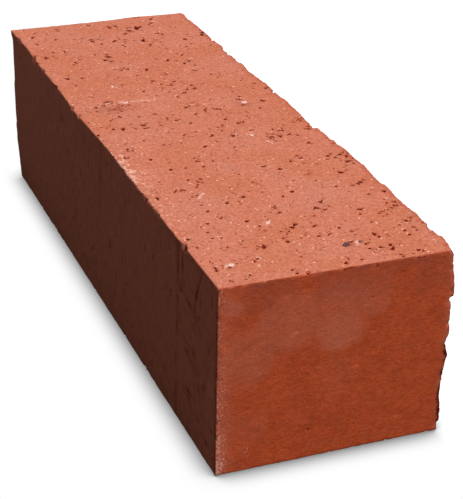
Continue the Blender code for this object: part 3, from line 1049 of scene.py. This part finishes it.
def bed_clay(s, grain, fine, finest):
    """The beds: pink clouds in salmon, with dark and light crumbs."""
    colour = s.mix(s.band(s.noise(24.0, 2.0), 0.35, 0.65), BED_ORANGE, BED_PINK)
    colour = s.mix(s.band(grain, 0.52, 0.78), colour, BED_LIGHT)
    colour = s.mix(s.band(grain, 0.48, 0.24), colour, BED_DARK)
    return s.vary(s.vary(colour, fine, 0.20), finest, 0.14)


def header_clay(s, blotch, level, finest):
    """The headers: smooth rust with fine level drag marks and broad smudges."""
    colour = s.mix(s.band(blotch, 0.40, 0.70), HEADER_COLOUR, HEADER_BROWN)
    colour = s.vary(s.vary(colour, level, 0.12), finest, 0.14)
    smudge = s.noise(4.5, 2.0, 0.5, s.stretched((1.5, 1.5, 0.9)))
    return s.vary(colour, smudge, 0.07, 0.30, 0.70)


def die_clay(s, blotch, fine):
    """The left stretcher: dull brown with fine upright streaks; the dullness is partly a painted cool tint
    of the shade it lies in.
    """
    colour = s.mix(s.band(blotch, 0.35, 0.7), DIE_COLOUR, DIE_BROWN)
    upright = s.noise(1.0, 3.0, 0.6, s.stretched((1.0, 0.9, 6.0)))
    return s.vary(s.vary(colour, fine, 0.13), upright, 0.15)


def torn_clay(s, blotch, grain):
    """The torn stretcher: rough and uneven, redder than the drawn one."""
    colour = s.mix(s.band(blotch, 0.35, 0.65), DIE_COLOUR, TORN_COLOUR)
    return s.brighten(colour, s.band(grain, 0.3, 0.7, 0.8, 1.15))


def laid_on(s, colour, header, bed, level, fine):
    """What lies on the clay: dust and haze, stains, pink and white flecks, and chalk."""
    dusty = s.times(header, s.band(level, 0.38, 0.68, 0.0, 0.07))
    dusty = s.math("ADD", dusty, s.times(s.attribute("haze"), HAZE_SHARE))
    colour = s.mix(dusty, colour, HAZE_COLOUR)
    colour = s.mix(s.times(s.attribute("stain"), STAIN_AND_SHADE_SHARE), colour, STAIN_AND_SHADE_COLOUR)
    pink_fleck = s.flecks(1.7, 0.60, 0.24, fine)
    colour = s.mix(s.times(pink_fleck, s.times(bed, 0.6)), colour, PINK_FLECK)
    white_fleck = s.flecks(2.2, 0.50, 0.21, fine)
    colour = s.mix(s.times(white_fleck, s.band(bed, 0.0, 1.0, 0.10, 1.0)), colour, WHITE_FLECK)
    frayed = s.band(fine, 0.30, 0.70, -0.34, 0.34)
    chalk = s.band(s.math("ADD", s.attribute("pale"), frayed), 0.30, 0.85)
    return s.mix(s.times(chalk, CHALK_SHARE), colour, CHALK_COLOUR)


def hollowed(s, colour, fine):
    """Clay darkened by the hollow mark, a brown rim round a nearly black middle: mostly painted shade in
    pits, tears and along edges, over clay darker inside its pits, and the dark marks.
    """
    deep = s.math("ADD", s.attribute("hollow"), s.band(fine, 0.25, 0.75, -0.14, 0.14))
    colour = s.mix(s.band(deep, 0.16, 0.45, 0.0, 0.60), colour, RIM_COLOUR)
    return s.mix(s.band(deep, 0.38, 0.60, 0.0, 0.95), colour, HOLLOW_COLOUR)


def clay_material():
    """Fired clay: salmon and crumbly on the beds, smooth rust on the headers, duller on the long sides with
    a painted cool tint of shade, and painted shade in its hollows.
    """
    s = Shading("fired_clay")
    bed, header = s.attribute("bed"), s.attribute("header")
    blotch = s.noise(6.0, 3.0)
    grain = s.noise(2.0, 3.0, 0.7)
    fine = s.noise(0.9, 2.0, 0.7)
    finest = s.noise(0.55, 2.0, 0.8)
    level = s.noise(1.0, 4.0, 0.8, s.stretched((1.8, 1.8, 0.75)))

    colour = s.mix(header, die_clay(s, blotch, fine), header_clay(s, blotch, level, finest))
    colour = s.mix(bed, colour, bed_clay(s, grain, fine, finest))
    colour = s.mix(s.attribute("torn"), colour, torn_clay(s, blotch, grain))
    colour = laid_on(s, colour, header, bed, level, fine)

    # Pinholes: tiny pits painted dark, painted shade over darker clay, and dipped by the bump
    gathered = s.band(s.noise(11.0, 1.0), 0.42, 0.58, 0.25, 1.0)
    pinhole = s.times(s.flecks(1.4, 0.48, 0.31, fine), gathered)
    pinhole = s.times(pinhole, s.band(bed, 0.0, 1.0, 0.05, 0.85))
    colour = hollowed(s, s.mix(pinhole, colour, PINHOLE_COLOUR), fine)

    relief = s.math("ADD", s.times(fine, 0.6), grain)
    s.bump(s.math("SUBTRACT", relief, pinhole), 0.14)
    return s.finish(colour, s.band(grain, 0.3, 0.7, 0.85, 0.97), 0.06)


# ---- mineral grains


# Each mineral's light and dark colour, cloud size in millimetres, roughness, veins and specular
MINERALS = {
    "white_quartz": ((1.00, 0.76, 0.67), (0.95, 0.52, 0.40), 1.1, 0.5, 0.1, 0.3),
    "pale_lime": ((0.90, 0.44, 0.31), (0.70, 0.26, 0.16), 0.8, 0.9, 0.15, 0.1),
    "grey_flint": ((0.36, 0.13, 0.10), (0.19, 0.06, 0.045), 1.1, 0.6, 0.3, 0.15),
    "dark_slag": ((0.09, 0.025, 0.024), (0.24, 0.095, 0.095), 1.6, 0.5, 0.2, 0.15),
}

# The share of each CAD grain's size that shows, by mineral, and how far its top stands proud of the bed
GRAIN_SCALE = {"white_quartz": 1.04, "pale_lime": 0.78, "grey_flint": 0.95, "dark_slag": 1.15}
GRAIN_LIFT = 0.16

# How many flat faces a grain has, and at which share of its reach they cut
CLEAVAGES = 8
CLEAVAGE_REACH = 0.78

# How a CAD grain is made finer: its corners weld within this distance in millimetres, and it is subdivided
# this many times
WELD_DISTANCE = 0.02
SUBDIVISIONS = 3


def mineral_material(name):
    """A mineral: two tones in soft clouds, with darker veins."""
    light, dark, size_mm, roughness, vein, specular = MINERALS[name]
    s = Shading(name)
    cloud = s.noise(size_mm, 4.0, 0.6)
    colour = s.mix(s.band(cloud, 0.35, 0.65), light, dark)
    crack = s.cells(size_mm)[0]
    colour = s.brighten(colour, s.band(crack, 0.0, 0.5, 1.0, 1.0 - vein))
    s.bump(s.noise(size_mm * 0.3, 3.0), 0.08)
    return s.finish(colour, s.band(cloud, 0.3, 0.7, roughness * 0.8, roughness * 1.2), specular)


def cleave(offset, draw):
    """Flatten a pebble along a few random planes. offset holds its points from its middle."""
    for _ in range(CLEAVAGES):
        cleavage = draw.normal(0, 1, 3)
        cleavage /= np.linalg.norm(cleavage)
        reach = CLEAVAGE_REACH * np.max(offset @ cleavage)
        over = np.maximum(offset @ cleavage - reach, 0)
        offset -= 0.9 * over[:, None] * cleavage


def fine_copy(name):
    """A welded and subdivided copy of a CAD grain."""
    mesh = frame["nodes"][name].data.copy()
    mesh.name = name + "_fine"
    mesh.materials.clear()
    piece = bpy.data.objects.new(name + "_fine", mesh)
    bpy.context.scene.collection.objects.link(piece)
    weld = piece.modifiers.new("weld", "WELD")
    weld.merge_threshold = WELD_DISTANCE * MM
    smooth = piece.modifiers.new("smooth", "SUBSURF")
    smooth.levels = SUBDIVISIONS
    smooth.render_levels = SUBDIVISIONS
    apply_modifiers(piece)
    return piece


def make_grain(name, material, slot, seed):
    """A mineral grain built on its CAD node: finer, with flat cleavage faces, and just proud of the bed."""
    low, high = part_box(name)
    middle = np.array((low + high) / 2)
    piece = fine_copy(name)
    places = np.zeros(len(piece.data.vertices) * 3, np.float32)
    piece.data.vertices.foreach_get("co", places)
    offset = (places.reshape(-1, 3) - middle) / MM
    cleave(offset, np.random.default_rng(900 + seed))
    rough = gradient_noise(offset[:, 0] * 2.2 + seed, offset[:, 1] * 2.2 + offset[:, 2] * 1.7, 950)
    offset *= (GRAIN_SCALE[slot] + 0.12 * rough)[:, None]
    offset[:, 2] += GRAIN_LIFT
    piece.data.vertices.foreach_set("co", (offset * MM + middle).astype(np.float32).ravel())
    piece.data.materials.append(material)
    piece.data.update()
    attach(piece, "root")
    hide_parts(name)


# ---- stage


CAMERA_PLACE = Vector((-0.20195, -0.54897, 0.30633))
CAMERA_TURN = math.radians(-21.79)
CAMERA_DIP = math.radians(26.45)
CAMERA_ROLL = math.radians(-1.18)
CAMERA_LENS = 105.9

# Each light's name, place, size and power, and the point inside the brick that both aim at
LIGHTS = (
    ("key", (1.12, -1.88, 3.82), 1.1, 181.0),
    ("rear_fill", (-0.1, 1.6, 0.6), 0.5, 9.0),
)
LIGHT_TARGET = Vector((0.0, 0.0, 0.04))

# The floor: half its width, its drop below the brick, and how far the contact shadow reaches, in metres
FLOOR_HALF = 3.0
FLOOR_DROP = 0.0004
SHADOW_REACH = 0.0125


def add_camera():
    """The camera that looks at the brick from the front left and above, through a long lens."""
    data = bpy.data.cameras.new("camera")
    data.lens = CAMERA_LENS
    data.sensor_width = 36.0
    camera = bpy.data.objects.new("camera", data)
    level_ahead = Vector((-math.sin(CAMERA_TURN), math.cos(CAMERA_TURN), 0.0))
    ahead = level_ahead * math.cos(CAMERA_DIP) - Vector((0.0, 0.0, math.sin(CAMERA_DIP)))
    right = Vector((math.cos(CAMERA_TURN), math.sin(CAMERA_TURN), 0.0))
    down = ahead.cross(right)
    rolled_right = right * math.cos(CAMERA_ROLL) + down * math.sin(CAMERA_ROLL)
    rolled_down = down * math.cos(CAMERA_ROLL) - right * math.sin(CAMERA_ROLL)
    turn = Matrix((rolled_right, -rolled_down, -ahead)).transposed()
    camera.matrix_world = Matrix.LocRotScale(CAMERA_PLACE, turn, None)
    bpy.context.scene.collection.objects.link(camera)
    bpy.context.scene.camera = camera


def add_light(name, place, size, power):
    """A square soft light aimed at the brick."""
    data = bpy.data.lights.new(name, "AREA")
    data.size = size
    data.energy = power
    light = bpy.data.objects.new(name, data)
    light.location = place
    light.rotation_mode = "QUATERNION"
    light.rotation_quaternion = (LIGHT_TARGET - Vector(place)).to_track_quat("-Z", "Y")
    bpy.context.scene.collection.objects.link(light)


def floor_material():
    """White to the camera, darkened by the soft contact shadow, less so at the right. Grey to the light."""
    s = Shading("floor_white")
    shade = s.node("AmbientOcclusion", Distance=SHADOW_REACH)
    shade.samples = 16
    level = s.math("MAXIMUM", s.band(shade.outputs["AO"], 0.0, 1.0, -0.32, 1.0), 0.30)
    place = s.node("SeparateXYZ", Vector=s.node("NewGeometry").outputs["Position"])
    level = s.math("ADD", level, s.band(place.outputs["X"], 0.042, 0.050, 0.0, 0.22))
    glow = s.node("Emission", Color=s.brighten((1.0, 1.0, 1.0), level))
    dim = s.node("BsdfDiffuse", Color=(0.10, 0.10, 0.10))
    mixed = s.node("MixShader")
    s.put(mixed.inputs[0], s.node("LightPath").outputs["Is Camera Ray"])
    s.put(mixed.inputs[1], dim.outputs[0])
    s.put(mixed.inputs[2], glow.outputs[0])
    s.put(s.tree.nodes["Material Output"].inputs["Surface"], mixed.outputs[0])
    s.tree.nodes.remove(s.surface)
    return s.material


def add_floor():
    """A plain white floor just below the brick."""
    corners = FLOOR_HALF * np.array([(-1, -1, 0), (1, -1, 0), (1, 1, 0), (-1, 1, 0)], float)
    floor = mesh_object("floor", corners, np.array([[0, 1, 2, 3]]), {})
    floor.location.z = -FLOOR_DROP
    floor.data.materials.append(floor_material())


def add_world():
    """White where the camera sees it, and a dim even sky for the light."""
    world = bpy.data.worlds.new("studio")
    world.use_nodes = True
    tree = world.node_tree
    background = tree.nodes["Background"]
    seen = tree.nodes.new("ShaderNodeLightPath").outputs["Is Camera Ray"]
    strength = tree.nodes.new("ShaderNodeMapRange")
    tree.links.new(seen, strength.inputs["Value"])
    strength.inputs["To Min"].default_value = 0.15
    strength.inputs["To Max"].default_value = 1.0
    tree.links.new(strength.outputs["Result"], background.inputs["Strength"])
    background.inputs["Color"].default_value = (1.0, 1.0, 1.0, 1.0)
    bpy.context.scene.world = world


def set_stage():
    """Camera, lights, floor and sky."""
    add_camera()
    add_floor()
    add_world()
    for light in LIGHTS:
        add_light(*light)
    bpy.context.scene.view_settings.view_transform = "Standard"


# ---- the whole scene


def make_body():
    """The fired body, riding in place of its CAD node."""
    lines, sides = build_sides()
    body = mesh_object("brick_body_sculpted", *make_body_mesh(lines, sides))
    thin_out(body, FACES_KEPT)
    body.data.materials.append(clay_material())
    body.data.shade_smooth()
    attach(body, "root")
    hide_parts(BODY_NODE)


def make_grains():
    """Every mineral grain, with the material of its slot."""
    materials = {name: mineral_material(name) for name in MINERALS}
    slots = {part["node"]: part["material_slot"] for part in frame["record"]["subparts"]}
    for seed, name in enumerate(GRAIN_NODES):
        make_grain(name, materials[slots[name]], slots[name], seed)


make_body()
make_grains()
set_stage()
